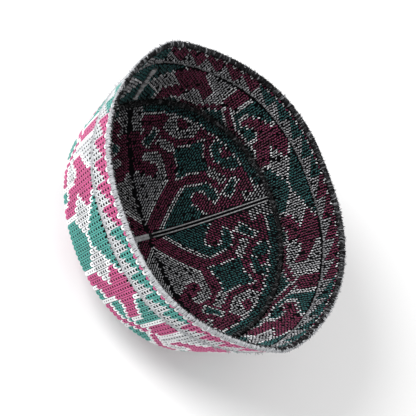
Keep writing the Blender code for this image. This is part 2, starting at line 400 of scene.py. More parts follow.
def edge_distance(shape, x, y):
    """Distance of places from a closed outline, leaving out its sides along the axis of the sector."""
    corners = np.array(shape)
    place = np.stack([x, y], axis=-1)
    best = np.full(np.shape(x), np.inf)
    for a, b in zip(corners, np.roll(corners, -1, axis=0)):
        if a[1] < 0 and b[1] < 0:
            continue
        share = np.clip(np.sum((place - a) * (b - a), axis=-1) / np.sum((b - a) ** 2), 0.0, 1.0)
        best = np.minimum(best, np.linalg.norm(place - a - share[..., None] * (b - a), axis=-1))
    return best


def crown_chart(x, y, reach, line):
    """Colour of the crown's stitches at places in millimetres, with outlines of a given width."""
    along = np.maximum(np.abs(x), np.abs(y))
    across = np.minimum(np.abs(x), np.abs(y))
    ground = np.where(np.abs(x) > np.abs(y), TEAL, WHITE)
    chart = np.full(np.shape(x), PINK)
    for shape, colour in ((FIELD, None), (PATCH, None), (STEM, WHITE), (SQUARE, TEAL), (END_PATCH, WHITE)):
        if shape is END_PATCH:
            chart[reach > BORDER_REACH - line / CHART_RADIUS] = OUTLINE
            chart[reach > BORDER_REACH] = TEAL
        within = inside(shape, along, across)
        chart[within] = ground[within] if colour is None else colour
        chart[within & (edge_distance(shape, along, across) < line)] = OUTLINE
        if shape is FIELD:
            chart[within & (along - across < FIELD[0][0] + FIELD_SIDE_LINE * line)] = OUTLINE
    chart[inside(LOZENGE, along, across)] = OUTLINE
    chart[inside(LOZENGE_CORE, along, across)] = TEAL
    return chart


# Mesh and node helpers


def link_object(name, data):
    """Object in the scene with its data."""
    item = bpy.data.objects.new(name, data)
    bpy.context.collection.objects.link(item)
    return item


def mesh_object(name, vertices, faces, material=None, uv=None):
    """Smooth object from points and faces, with a UV place for each point if given."""
    mesh = bpy.data.meshes.new(name)
    mesh.from_pydata([tuple(point) for point in vertices], [], [tuple(face) for face in faces])
    mesh.shade_smooth()
    if material is not None:
        mesh.materials.append(material)
    if uv is not None:
        layer = mesh.uv_layers.new(name="cloth")
        corners = np.empty(len(mesh.loops), dtype=np.int32)
        mesh.loops.foreach_get("vertex_index", corners)
        layer.uv.foreach_set("vector", np.asarray(uv, dtype=np.float32)[corners].ravel())
    return link_object(name, mesh)


def shell_object(name, vertices, faces, material, uv=None):
    """Closed object with its faces turned outwards."""
    item = mesh_object(name, vertices, faces, material, uv)
    shell = bmesh.new()
    shell.from_mesh(item.data)
    bmesh.ops.recalc_face_normals(shell, faces=shell.faces)
    shell.to_mesh(item.data)
    shell.free()
    return item


def set_vectors(mesh, name, values):
    """Attribute with a vector for each point."""
    attribute = mesh.attributes.new(name, "FLOAT_VECTOR", "POINT")
    attribute.data.foreach_set("vector", np.asarray(values, dtype=np.float32).ravel())


def grid_faces(rows, columns, round_columns=False, round_rows=False):
    """Faces of a grid of points, joined round its columns or its rows where that is asked for."""
    faces = []
    for r in range(rows if round_rows else rows - 1):
        s = (r + 1) % rows
        for c in range(columns if round_columns else columns - 1):
            d = (c + 1) % columns
            faces.append((r * columns + c, r * columns + d, s * columns + d, s * columns + c))
    return faces


def add_node(tree, kind, inputs=None, **settings):
    """Node with its settings made and its inputs linked or set."""
    node = tree.nodes.new(kind)
    for name, value in settings.items():
        setattr(node, name, value)
    for key, value in (inputs or {}).items():
        if isinstance(value, bpy.types.NodeSocket):
            tree.links.new(value, node.inputs[key])
        else:
            node.inputs[key].default_value = value
    return node


def node_group(name, kind, inputs, outputs):
    """Node group with its named sockets."""
    tree = bpy.data.node_groups.new(name, kind)
    for label, socket, default in inputs:
        item = tree.interface.new_socket(label, in_out="INPUT", socket_type=socket)
        if default is not None:
            item.default_value = default
    for label, socket in outputs:
        tree.interface.new_socket(label, in_out="OUTPUT", socket_type=socket)
    return tree


def maths(tree, operation, *values):
    """Result of a math node on sockets and numbers."""
    return add_node(tree, "ShaderNodeMath", dict(enumerate(values)), operation=operation).outputs[0]


def remap(tree, value, low, high, new_low=0.0, new_high=1.0):
    """Value brought from one range to another, and held within it."""
    ranges = {0: value, 1: low, 2: high, 3: new_low, 4: new_high}
    return add_node(tree, "ShaderNodeMapRange", ranges).outputs[0]


def noise(tree, scale, detail):
    """Noise on the object's own coordinates."""
    place = add_node(tree, "ShaderNodeTexCoord").outputs["Object"]
    inputs = {"Vector": place, "Scale": scale, "Detail": detail}
    return add_node(tree, "ShaderNodeTexNoise", inputs).outputs["Fac"]


# Materials


LOOK_OUTPUTS = (
    ("Colour", "NodeSocketColor"), ("Height", "NodeSocketFloat"), ("Roughness", "NodeSocketFloat"),
)


def thread_group():
    """Twist, fuzz and uneven dye of a thread, with painted shade in the twist's grooves and painted highlight
    on its ridges.
    """
    inputs = (
        ("Colour", "NodeSocketColor", (0.5, 0.5, 0.5, 1.0)),
        ("Strand", "NodeSocketVector", None),
        ("Plies", "NodeSocketFloat", 1.1),
        ("Unevenness", "NodeSocketFloat", 0.16),
    )
    tree = node_group("thread look", "ShaderNodeTree", inputs, LOOK_OUTPUTS)
    source = add_node(tree, "NodeGroupInput").outputs
    strand = add_node(tree, "ShaderNodeSeparateXYZ", {0: source["Strand"]}).outputs
    turns = maths(tree, "MULTIPLY", strand["X"], source["Plies"])
    twist = maths(tree, "SINE", maths(tree, "MULTIPLY", maths(tree, "ADD", turns, strand["Y"]), 2 * pi))
    fuzz = noise(tree, FUZZ_SCALE, 2.0)
    dye = remap(tree, noise(tree, DYE_SCALE, 3.0), 0.25, 0.75, -1.0, 1.0)
    # painted shade in the twist's grooves and painted highlight on its ridges, added to the real uneven dye
    painted_twist_shade = maths(tree, "MULTIPLY", twist, GROOVE_SHADE)
    shade = maths(tree, "ADD", painted_twist_shade, maths(tree, "MULTIPLY", dye, source["Unevenness"]))
    value = maths(tree, "ADD", shade, THREAD_VALUE)
    tint = add_node(tree, "ShaderNodeHueSaturation", {"Value": value, "Color": source["Colour"]})
    height = maths(tree, "ADD", twist, fuzz)
    rough = remap(tree, fuzz, 0.0, 1.0, 0.62, 0.92)
    add_node(tree, "NodeGroupOutput", {"Colour": tint.outputs["Color"], "Height": height, "Roughness": rough})
    return tree


def weave_group():
    """Plain weave of the ground cloth, from a UV map in metres, with painted shade in its hollows and painted
    highlight on its raised threads.
    """
    inputs = (
        ("Place", "NodeSocketVector", None),
        ("Dark", "NodeSocketColor", (0.01, 0.01, 0.012, 1.0)),
        ("Light", "NodeSocketColor", (0.03, 0.03, 0.034, 1.0)),
        ("Threads", "NodeSocketFloat", CLOTH_THREADS),
    )
    tree = node_group("weave look", "ShaderNodeTree", inputs, LOOK_OUTPUTS)
    source = add_node(tree, "NodeGroupInput").outputs
    place = {0: source["Place"], "Scale": source["Threads"]}
    scaled = add_node(tree, "ShaderNodeVectorMath", place, operation="SCALE").outputs[0]
    split = add_node(tree, "ShaderNodeSeparateXYZ", {0: scaled}).outputs
    waves = [maths(tree, "SINE", maths(tree, "MULTIPLY", split[axis], 2 * pi)) for axis in ("X", "Y")]
    lint = noise(tree, LINT_SCALE, 4.0)
    height = maths(tree, "ADD", maths(tree, "MULTIPLY", *waves), lint)
    # painted shade and highlight: the Dark colour in the weave's hollows, the Light colour on its raised
    # threads, with random lint tone
    painted_weave_shade = {0: remap(tree, height, -0.5, 1.5), 6: source["Dark"], 7: source["Light"]}
    mix = add_node(tree, "ShaderNodeMix", painted_weave_shade, data_type="RGBA")
    rough = remap(tree, lint, 0.0, 1.0, 0.8, 0.98)
    add_node(tree, "NodeGroupOutput", {"Colour": mix.outputs[2], "Height": height, "Roughness": rough})
    return tree


def group_named(name, make):
    """A shared node group, made the first time it is asked for."""
    return bpy.data.node_groups.get(name) or make()


def new_material(name):
    """Material with its nodes and its surface."""
    material = bpy.data.materials.new(name)
    material.use_nodes = True
    return material, material.node_tree, material.node_tree.nodes["Principled BSDF"]


def look_surface(tree, surface, look, strength, distance, specular):
    """Surface with the colour, roughness and relief of a look."""
    relief = {"Height": look.outputs["Height"], "Strength": strength, "Distance": distance}
    bump = add_node(tree, "ShaderNodeBump", relief)
    tree.links.new(look.outputs["Colour"], surface.inputs["Base Color"])
    tree.links.new(look.outputs["Roughness"], surface.inputs["Roughness"])
    tree.links.new(bump.outputs["Normal"], surface.inputs["Normal"])
    surface.inputs["Specular IOR Level"].default_value = specular


def thread_material(name, plies=1.1, unevenness=0.16, sheen=0.25):
    """Dull cotton thread that takes its colour from the yarn attribute."""
    material, tree, surface = new_material(name)
    yarn = add_node(tree, "ShaderNodeAttribute", attribute_name="yarn").outputs["Color"]
    strand = add_node(tree, "ShaderNodeAttribute", attribute_name="strand").outputs["Vector"]
    inputs = {"Colour": yarn, "Strand": strand, "Plies": plies, "Unevenness": unevenness}
    look = add_node(tree, "ShaderNodeGroup", inputs, node_tree=group_named("thread look", thread_group))
    look_surface(tree, surface, look, strength=0.5, distance=0.00006, specular=0.1 + 0.6 * sheen)
    surface.inputs["Sheen Weight"].default_value = sheen
    surface.inputs["Sheen Roughness"].default_value = 0.5
    return material


def cloth_material(name, dark, light):
    """Woven ground cloth under the embroidery."""
    material, tree, surface = new_material(name)
    place = add_node(tree, "ShaderNodeUVMap", uv_map="cloth").outputs["UV"]
    inputs = {"Place": place, "Dark": (*dark, 1.0), "Light": (*light, 1.0), "Threads": CLOTH_THREADS}
    look = add_node(tree, "ShaderNodeGroup", inputs, node_tree=group_named("weave look", weave_group))
    look_surface(tree, surface, look, strength=0.6, distance=0.0001, specular=0.05)
    return material


def cord_material(name, colour):
    """Cord or strip under stitches, dyed one colour with fuzz on it."""
    material, tree, surface = new_material(name)
    fuzz = noise(tree, CORD_FUZZ_SCALE, 4.0)
    ramp = add_node(tree, "ShaderNodeValToRGB", {0: fuzz})
    for stop, position, share in zip(ramp.color_ramp.elements, (0.3, 0.7), (0.5, 1.0)):
        stop.position = position
        stop.color = (*[c * share for c in colour], 1.0)
    bump = add_node(tree, "ShaderNodeBump", {"Height": fuzz, "Strength": 0.7, "Distance": 0.0003})
    tree.links.new(ramp.outputs["Color"], surface.inputs["Base Color"])
    tree.links.new(bump.outputs["Normal"], surface.inputs["Normal"])
    surface.inputs["Roughness"].default_value = 0.85
    surface.inputs["Specular IOR Level"].default_value = 0.2
    return material


# Stitches


def thread_object(name, vertices, sides, strand):
    """Closed thread made of rings of points, with its two ends and a strand attribute for its twist."""
    last = len(vertices) - sides
    faces = [tuple(range(sides)), tuple(range(last + sides - 1, last - 1, -1))]
    for base in range(0, last, sides):
        for c in range(sides):
            d = (c + 1) % sides
            faces.append((base + c, base + sides + c, base + sides + d, base + d))
    item = mesh_object(name, vertices, faces)
    set_vectors(item.data, "strand", strand)
    return item


def stitch_shape(name, path, widths, heights):
    """Thread lying along a path: a four-sided thread with its half widths and heights."""
    path = np.array(path, dtype=float)
    ahead = unit(np.gradient(path, axis=0))
    side = np.stack([-ahead[:, 1], ahead[:, 0]], axis=1)
    along = np.concatenate([[0.0], np.cumsum(np.linalg.norm(np.diff(path, axis=0), axis=1))])
    vertices = []
    strand = []
    for k in range(len(path)):
        for turn, (out, rise) in enumerate(((-1, 0), (-0.55, 1), (0.55, 1), (1, 0))):
            edge = path[k] + side[k] * out * widths[k]
            vertices.append((edge[0], edge[1], heights[k] if rise else -STITCH_SINK))
            strand.append((along[k] * 1000, turn / 3, 0.0))
    return thread_object(name, vertices, 4, strand)


def scatter_tree():
    """Geometry nodes that set one stitch, picked by its kind, on every point of a layer."""
    inputs = (
        ("Geometry", "NodeSocketGeometry", None),
        ("Stitches", "NodeSocketCollection", None),
        ("Width", "NodeSocketFloat", 1.0),
        ("Length", "NodeSocketFloat", 1.0),
        ("Height", "NodeSocketFloat", 1.0),
        ("Wobble", "NodeSocketFloat", 0.05),
        ("Seed", "NodeSocketInt", 1),
        ("Material", "NodeSocketMaterial", None),
    )
    tree = node_group("stitch layer", "GeometryNodeTree", inputs, (("Geometry", "NodeSocketGeometry"),))
    tree.is_modifier = True

    def make(node, sockets, **settings):
        """First output of a node."""
        return add_node(tree, node, sockets, **settings).outputs[0]

    source = add_node(tree, "NodeGroupInput").outputs
    facing, heading, size = [
        make("GeometryNodeInputNamedAttribute", {"Name": name}, data_type="FLOAT_VECTOR")
        for name in ("facing", "heading", "size")
    ]
    kind = make("GeometryNodeInputNamedAttribute", {"Name": "kind"}, data_type="INT")
    turn = make("FunctionNodeAxesToRotation", {0: facing, 1: heading}, primary_axis="Z", secondary_axis="Y")
    least = maths(tree, "MULTIPLY", source["Wobble"], -1.0)
    limits = {2: least, 3: source["Wobble"], "Seed": source["Seed"]}
    chance = add_node(tree, "FunctionNodeRandomValue", limits, data_type="FLOAT").outputs[1]
    swing = make("FunctionNodeAxisAngleToRotation", {"Axis": (0.0, 0.0, 1.0), "Angle": chance})
    placed = make("FunctionNodeRotateRotation", {0: turn, 1: swing}, rotation_space="LOCAL")
    scale = make("ShaderNodeCombineXYZ", {0: source["Width"], 1: source["Length"], 2: source["Height"]})
    sized = make("ShaderNodeVectorMath", {0: scale, 1: size}, operation="MULTIPLY")
    choice = {"Collection": source["Stitches"], "Separate Children": True, "Reset Children": True}
    setting = {
        "Points": source["Geometry"],
        "Instance": make("GeometryNodeCollectionInfo", choice),
        "Pick Instance": True,
        "Instance Index": kind,
        "Rotation": placed,
        "Scale": sized,
    }
    real = make("GeometryNodeRealizeInstances", {0: make("GeometryNodeInstanceOnPoints", setting)})
    soft = make("GeometryNodeSetShadeSmooth", {0: real})
    finish = make("GeometryNodeSetMaterial", {0: soft, "Material": source["Material"]})
    add_node(tree, "NodeGroupOutput", {0: finish})
    return tree


def dress(item, slot, *nodes):
    """Ride the piece on the cap and hide the nodes it stands for; the slot is not used."""
    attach(item, "root")
    if nodes:
        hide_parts(*nodes)


def scatter(name, slot, stitches, places, colours, material, size, kind=None, wobble=0.05, seed=0):
    """Layer of stitches as one plain mesh. Places are points with the way each stitch faces and heads."""
    points, facing, heading = places
    count = len(points)
    carrier = mesh_object(name + "_points", points, ())
    for label, values in (("facing", facing), ("heading", heading), ("size", size)):
        set_vectors(carrier.data, label, values)
    dye = carrier.data.attributes.new("yarn", "FLOAT_COLOR", "POINT")
    tinted = np.concatenate([np.clip(colours, 0.0, 1.0), np.ones((count, 1))], axis=1)
    dye.data.foreach_set("color", tinted.astype(np.float32).ravel())
    choice = carrier.data.attributes.new("kind", "INT", "POINT")
    kind = np.zeros(count) if kind is None else kind
    choice.data.foreach_set("value", kind.astype(np.int32))
    shapes = bpy.data.collections.new(name + "_shapes")
    for number, stitch in enumerate(stitches):
        stitch.name = f"{name}_{number}"
        shapes.objects.link(stitch)
    layer = carrier.modifiers.new("Stitches", "NODES")
    layer.node_group = bpy.data.node_groups.get("stitch layer") or scatter_tree()
    values = {"Stitches": shapes, "Wobble": wobble, "Seed": STITCH_SEED + seed, "Material": material}
    for item in layer.node_group.interface.items_tree:
        if item.in_out == "INPUT" and item.name in values:
            layer[item.identifier] = values[item.name]
    graph = bpy.context.evaluated_depsgraph_get()
    mesh = bpy.data.meshes.new_from_object(
        carrier.evaluated_get(graph), preserve_all_data_layers=True, depsgraph=graph
    )
    mesh.name = name
    for label in ("facing", "heading", "size", "kind"):
        found = mesh.attributes.get(label)
        if found:
            mesh.attributes.remove(found)
    item = link_object(name, mesh)
    for helper in (carrier, *stitches):
        bpy.data.objects.remove(helper)
    bpy.data.collections.remove(shapes)
    dress(item, slot)


def yarn_colours(settings, chart, inner, chance):
    """Colour of each stitch from its chart number, a little different from stitch to stitch."""
    table = np.array([settings.white_yarn, settings.teal_yarn, settings.pink_yarn, settings.outline_yarn])
    spread = 0.06
    # The back colours are darker than the front yarns: partly from the black thread mixed into the back,
    # partly painted shade of the cap's dim inside
    if inner:
        table = np.array([settings.white_back_shaded, settings.teal_back_shaded, settings.pink_back_shaded, settings.outline_back_shaded])
        spread = 0.3
    shade = 1 + spread * (chance.random(len(chart)) * 2 - 1)
    return table[chart] * shade[:, None]


def loop_stitch(pitch, row, prong, foot, height):
    """Open chain stitch in a row: two prongs towards the rim and a rounded foot, with their half widths."""
    reach = row / 2 - 0.82 * prong
    path = (
        (-reach, 0.66 * pitch), (-reach, 0.16 * pitch), (-0.74 * reach, -0.30 * pitch), (0.0, -0.44 * pitch),
        (0.74 * reach, -0.30 * pitch), (reach, 0.16 * pitch), (reach, 0.66 * pitch),
    )
    mean = (prong + foot) / 2
    widths = (prong * 0.9, prong, mean, foot, mean, prong, prong * 0.9)
    heights = [height * share for share in (0.3, 0.75, 0.95, 1.0, 0.95, 0.75, 0.3)]
    return stitch_shape("loop", path, widths, heights)


def loop_kinds(pitch, row, height):
    """Chain stitches of the white ground, of the colours, of the outlines and, nearly closed, of the hem."""
    share = row / LOOP_ROW
    return [loop_stitch(pitch, row, prong * share, foot * share, height) for prong, foot in LOOP_WIDTHS]


def dash_stitch(length, width, height):
    """Short straight stitch, thickest in its middle."""
    path = [(0.0, share * length) for share in (-0.5, -0.3, 0.3, 0.5)]
    heights = [height * share for share in (0.3, 1.0, 1.0, 0.3)]
    return stitch_shape("dash", path, [width * share for share in (0.25, 0.5, 0.5, 0.25)], heights)


def hair(length):
    """Loose bent fibre that starts at its root."""
    path = np.array(((0.0, 0.0), (0.07, 0.5), (-0.16, 1.0))) * length
    return stitch_shape("hair", path, (0.00009, 0.00008, 0.00003), (0.00008, 0.00008, 0.00003))


def arc_thread(start, end, radius, width, height, drop_start=0.0, drop_end=0.0):
    """Thread wrapped over a roll from one angle to another, with straight ends running down the wall."""
    normals = [(np.cos(turn), np.sin(turn)) for turn in np.linspace(start, end, 6)]
    path = [(x * radius, y * radius) for x, y in normals]
    if drop_start:
        path.insert(0, (path[0][0], path[0][1] - drop_start))
        normals.insert(0, normals[0])
    if drop_end:
        path.append((path[-1][0], path[-1][1] - drop_end))
        normals.append(normals[-1])
    vertices = []
    strand = []
    length = 0.0
    for k, ((x, y), (nx, ny)) in enumerate(zip(path, normals)):
        tip = 0.5 if k in (0, len(path) - 1) else 1.0
        if k:
            length += np.hypot(x - path[k - 1][0], y - path[k - 1][1])
        for turn, (out, rise) in enumerate(((-1, 0), (0, 1), (1, 0))):
            lift = height * tip if rise else -WRAP_SINK
            vertices.append((out * width / 2 * tip, x + nx * lift, y + ny * lift))
            strand.append((length * 1000, turn / 2, 0.0))
    return thread_object("arc", vertices, 3, strand)


def varied(chance, value, count, least, spread, power=1):
    """Colours or sizes that differ from thread to thread, as shares of a value."""
    return np.array(value) * (least + spread * chance.random((count, 1)) ** power)


def flecked(chance, colours, share, fleck, least, spread, power=1):
    """Colours with a random share of threads in the shades of another yarn."""
    chosen = chance.random(len(colours)) < share
    colours[chosen] = varied(chance, fleck, chosen.sum(), least, spread, power)
    return colours


def stitch_sizes(chance, count, spread):
    """Slightly different widths and lengths of stitches."""
    return np.column_stack([1 + spread * (chance.random((count, 2)) - 0.5), np.ones(count)])


def wrap_sizes(chance, count, spread):
    """Slightly different lengths and heights of wraps."""
    return stitch_sizes(chance, count, spread)[:, [2, 0, 1]]


def band_grid(settings):
    """Stitch row, depth and chart number of every stitch of the band."""
    chance = np.random.default_rng(STITCH_SEED)
    row, stitch = np.meshgrid(np.arange(settings.band_rows), np.arange(BAND_STITCHES), indexing="ij")
    uneven = ROW_UNEVENNESS * (chance.random((settings.band_rows, 1)) - 0.5)
    shift = ROW_WAVE * np.sin(row * 0.9) + uneven
    depth = BAND_START + settings.band_pitch / WALL_SLANT * (stitch + 0.5 + shift)
    chart = band_chart(settings.band_rows)
    keep = stitch != LINE_STITCH
    return row[keep].astype(float), np.minimum(depth, BAND_END)[keep], chart[keep]


def row_place(settings, row):
    """Place round the cap of a stitch row, with the drift of hand-guided work."""
    known = np.array(ROW_DRIFT)
    return (row + np.interp(np.mod(row, settings.band_rows), known[:, 0], known[:, 1])) / settings.band_rows


def crown_cells(settings, sides, line):
    """Place, heading, reach and chart number of the crown's stitches, in rows along its diagonals."""
    chance = np.random.default_rng(STITCH_SEED + 2)
    pitch = settings.crown_pitch * 1000
    row_width = settings.crown_row * 1000
    found = []
    for sign in ((-1, -1), (-1, 1), (1, -1), (1, 1)):
        row, stitch = np.meshgrid(
            np.arange(-CROWN_ROWS, CROWN_ROWS + 1), np.arange(CROWN_STITCHES), indexing="ij"
        )
        uneven = ROW_UNEVENNESS * (chance.random(row.shape) - 0.5)
        start = pitch * (stitch + 0.5 + ROW_WAVE * np.sin(row * 1.1) + uneven)
        for side in sides:
            off = (row + DASH_SIDE * side) * row_width
            along = start + (DASH_LAG * pitch if side > 0 else 0.0)
            x = (along + off) / 2**0.5
            y = (along - off) / 2**0.5
            real = np.stack([x, y], axis=-1) * CHART_SCALE * sign
            radius, _ = edge_at(np.mod(np.arctan2(real[..., 1], real[..., 0]), 2 * pi))
            reach = np.hypot(real[..., 0], real[..., 1]) / radius
            chart = crown_chart(x, y, reach, line)
            keep = (along >= np.abs(off)) & (reach < CROWN_END)
            heading = np.tile(-unit(CHART_SCALE * sign), (keep.sum(), 1))
            found.append(np.column_stack([real[keep], heading, reach[keep], chart[keep]]))
    return np.concatenate(found)


def painted_corner_shade(reach, width):
    """Share of its colour that a stitch keeps near the crown seam, as painted shade of the dark corner there.
    """
    return np.clip((1.0 - reach) / width, 0.2, 1.0)[:, None]


# Pieces


def build_stage(settings):
    """Pale floor, soft light and the camera at the photograph's angle."""
    material, _, surface = new_material("pale_floor")
    surface.inputs["Base Color"].default_value = (*settings.floor_colour, 1.0)
    surface.inputs["Roughness"].default_value = 0.9
    half = FLOOR_SIZE / 2
    corners = ((-half, -half, 0), (half, -half, 0), (half, half, 0), (-half, half, 0))
    mesh_object("floor", corners, [(0, 1, 2, 3)], material)
    world = bpy.data.worlds.new("studio")
    world.use_nodes = True
    background = world.node_tree.nodes["Background"]
    background.inputs["Color"].default_value = (1.0, 1.0, 1.0, 1.0)
    background.inputs["Strength"].default_value = settings.sky_strength
    bpy.context.scene.world = world
    bpy.context.scene.view_settings.view_transform = "Standard"
    data = bpy.data.lights.new("key_light", "AREA")
    data.shape = "DISK"
    data.size = KEY_SIZE
    data.energy = settings.key_power
    lamp = link_object("key_light", data)
    lamp.location = KEY_PLACE
    aim = Vector(KEY_AIM) - Vector(KEY_PLACE)
    lamp.rotation_euler = aim.to_track_quat("-Z", "Y").to_euler()
    turn = Matrix(CAMERA_TURN)
    data = bpy.data.cameras.new("camera")
    data.lens = CAMERA_LENS
    data.sensor_width = CAMERA_SENSOR
    camera = link_object("camera", data)
    place = Vector((0.0, 0.0, RIM_HEIGHT)) - turn.transposed() @ Vector(RIM_IN_CAMERA)
    camera.matrix_world = Matrix.Translation(place) @ turn.transposed().to_4x4()
    bpy.context.scene.camera = camera


def build_band_cloth(settings):
    """Ground cloth of the band, a closed shell under the embroidery."""
    depths = np.linspace(0.0, 1.0, BAND_RINGS)
    place = np.arange(CURVE_STEPS) / CURVE_STEPS
    outer = []
    inner = []
    for depth in depths:
        point, normal, _ = wall_frame(place, np.full(CURVE_STEPS, depth))
        outer.append(point + normal * settings.cloth_thickness / 2)
        inner.append(point - normal * settings.cloth_thickness / 2)
    rings = outer + inner[::-1]
    grid = grid_faces(len(rings), CURVE_STEPS, round_columns=True, round_rows=True)
    faces = [face[::-1] for face in grid]
    down = np.concatenate([depths, depths[::-1]]) * WALL_SLANT
    uv = np.stack([np.tile(place * BAND_GIRTH, len(rings)), np.repeat(down, CURVE_STEPS)], axis=1)
    material = cloth_material("band_ground_cloth", settings.cloth_dark, settings.cloth_light)
    item = shell_object("band_cloth", np.concatenate(rings), faces, material, uv)
    dress(item, "band_embroidery", "side_band")


def build_band_outer(settings):
    """Embroidery on the outside of the band: chain stitches in rows from rim to crown."""
    chance = np.random.default_rng(STITCH_SEED)
    row, depth, chart = band_grid(settings)
    point, normal, up = wall_frame(row_place(settings, row), depth)
    size = np.ones((len(row), 3))
    size[:, 0] = (BAND_GIRTH - BAND_NARROWING * depth) / settings.band_rows / settings.band_row_width
    size[:, 2] = 1 + 0.2 * (chance.random(len(row)) - 0.5)
    hem = depth < BAND_START + settings.band_pitch / WALL_SLANT
    scatter(
        "band_outer_stitches",
        "band_embroidery",
        loop_kinds(settings.band_pitch, settings.band_row_width, settings.stitch_height),
        (point + normal * settings.cloth_thickness / 2, normal, up),
        yarn_colours(settings, chart, False, chance),
        thread_material("band_outer_yarn"),
        size,
        np.where(hem, HEM_KIND, STITCH_KIND[chart]),
    )


def build_band_inner(settings):
    """Back of the band's embroidery: two lines of short dashes behind each row."""
    chance = np.random.default_rng(STITCH_SEED + 1)
    row, depth, chart = band_grid(settings)
    row = np.concatenate([row - DASH_SIDE, row + DASH_SIDE])
    depth = np.concatenate([depth, depth + DASH_LAG * settings.band_pitch / WALL_SLANT])
    chart = np.concatenate([chart, chart])
    seen = (depth > INNER_START) & (depth < INNER_END) & (np.abs(depth - LINE_DEPTH) > LINE_CLEARANCE)
    keep = (chance.random(len(row)) > 0.04) & seen
    row, depth, chart = row[keep], depth[keep], chart[keep]
    row = row + 0.05 * chance.standard_normal(len(row))
    point, normal, up = wall_frame(row_place(settings, row), depth)
    scatter(
        "band_inner_stitches",
        "band_embroidery",
        [dash_stitch(length=0.0022, width=0.00078, height=0.0005)],
        (point - normal * settings.cloth_thickness / 2, -normal, up),
        # painted shade: the back stitches darken towards the corner at the crown seam
        yarn_colours(settings, chart, True, chance) * painted_corner_shade(depth, 0.09),
        thread_material("band_inner_yarn", unevenness=0.3),
        stitch_sizes(chance, len(row), 0.4),
        wobble=0.42,
        seed=1,
    )


def build_crown_cloth(settings, name, sign):
    """Ground cloth of one half of the crown; sign is +1 for the rear half and -1 for the front half."""
    angle = np.mod(sign * CROWN_TURNS, 2 * pi)
    count = len(angle)
    radius, _ = edge_at(angle)
    heading = np.tile((0.0, 1.0), (count, 1))
    sheets = []
    for side in (1, -1):
        centre, normal, _ = crown_frame(np.zeros(1), np.zeros(1), heading[:1])
        rings = [centre + side * normal * settings.cloth_thickness / 2]
        for reach in CROWN_REACHES:
            place = (reach * radius * np.cos(angle), reach * radius * np.sin(angle))
            point, normal, _ = crown_frame(*place, heading)
            rings.append(point + side * normal * settings.cloth_thickness / 2)
        sheets.append(np.concatenate(rings))
    total = len(sheets[0])
    vertices = np.concatenate(sheets) + np.array((0.0, sign * HALF_GAP, 0.0))
    faces = []
    for base, way in ((0, -sign), (total, sign)):
        faces += [(base, base + 1 + i, base + 2 + i) for i in range(count - 1)]
        for face in grid_faces(len(CROWN_REACHES), count):
            faces.append(tuple(base + 1 + corner for corner in face)[::way])
    edge = [0, *range(1, total, count), *range(total - count + 1, total)]
    edge += range(total - 1 - count, 0, -count)
    for a, b in zip(edge, edge[1:] + edge[:1]):
        faces.append((a, b, total + b, total + a)[::sign])
    material = cloth_material(name + "_ground_cloth", settings.cloth_dark, settings.cloth_light)
    item = shell_object(name + "_cloth", vertices, faces, material, vertices[:, :2])
    middle = ((sheets[0] + sheets[1])[1:] / 2).reshape(-1, count, 3)
    reach = np.linalg.norm(np.diff(middle, axis=0), axis=-1).sum(axis=0) / (1 - CROWN_REACHES[0])
    dress(item, "crown_embroidery", name + "_half")


def build_crown_outer(settings, name, sign):
    """Embroidery on the outside of one half of the crown."""
    chance = np.random.default_rng(STITCH_SEED + 3)
    cells = crown_cells(settings, (0,), OUTER_LINE)
    cells = cells[cells[:, 1] * sign > CREASE_CLEARANCE]
    chart = cells[:, 5].astype(int)
    point, normal, ahead = crown_frame(cells[:, 0], cells[:, 1], cells[:, 2:4])
    scatter(
        name + "_outer_stitches",
        "crown_embroidery",
        loop_kinds(settings.crown_pitch, settings.crown_row, settings.stitch_height),
        (point + normal * settings.cloth_thickness / 2, normal, ahead),
        yarn_colours(settings, chart, False, chance),
        thread_material(name + "_outer_yarn"),
        np.ones((len(cells), 3)),
        STITCH_KIND[chart],
    )


def build_crown_inner(settings, name, sign):
    """Back of the embroidery of one half of the crown: two lines of short dashes behind each row."""
    chance = np.random.default_rng(STITCH_SEED + 4)
    cells = crown_cells(settings, (-1, 1), INNER_LINE)
    x, y, reach = cells[:, 0], cells[:, 1], cells[:, 4]
    clear = (np.abs(x) > FOLD_CLEARANCE) | (chance.random(len(x)) < 0.12)
    seen = (y * sign > np.where(x > 0, *WELT_CLEARANCE)) & (reach < 0.98) & clear
    cells = cells[seen & (chance.random(len(x)) > 0.03)]
    chart = cells[:, 5].astype(int)
    cells[:, :2] += 0.00012 * chance.standard_normal((len(cells), 2))
    point, normal, ahead = crown_frame(cells[:, 0], cells[:, 1], cells[:, 2:4])
    scatter(
        name + "_inner_stitches",
        "crown_embroidery",
        [dash_stitch(length=0.0018, width=0.00074, height=0.0005)],
        (point - normal * settings.cloth_thickness / 2, -normal, ahead),
        # painted shade: the back stitches darken towards the corner at the crown seam
        yarn_colours(settings, chart, True, chance) * painted_corner_shade(cells[:, 4], 0.06),
        thread_material(name + "_inner_yarn", unevenness=0.3),
        stitch_sizes(chance, len(cells), 0.4),
        wobble=0.32,
        seed=4,
    )


def round_cord(name, centres, radius, material):
    """Round cord along a closed curve."""
    along = unit(np.roll(centres, -1, axis=0) - np.roll(centres, 1, axis=0))
    out = unit(np.cross(along, np.array((0.0, 0.0, 1.0))))
    out = np.where(np.sum(out * centres, axis=1, keepdims=True) < 0, -out, out)
    rise = np.cross(along, out)
    rise = np.where(rise[:, 2:] < 0, -rise, rise)
    turns = 2 * pi * np.arange(CORD_SIDES) / CORD_SIDES
    rings = [centres + radius * (np.cos(turn) * out + np.sin(turn) * rise) for turn in turns]
    faces = grid_faces(CORD_SIDES, len(centres), round_columns=True, round_rows=True)
    return shell_object(name, np.concatenate(rings), faces, material)


def rim_places(count, chance, jitter=0.35):
    """Places round the rim at equal steps, a little uneven."""
    return (np.arange(count) + jitter * (chance.random(count) - 0.5)) / count


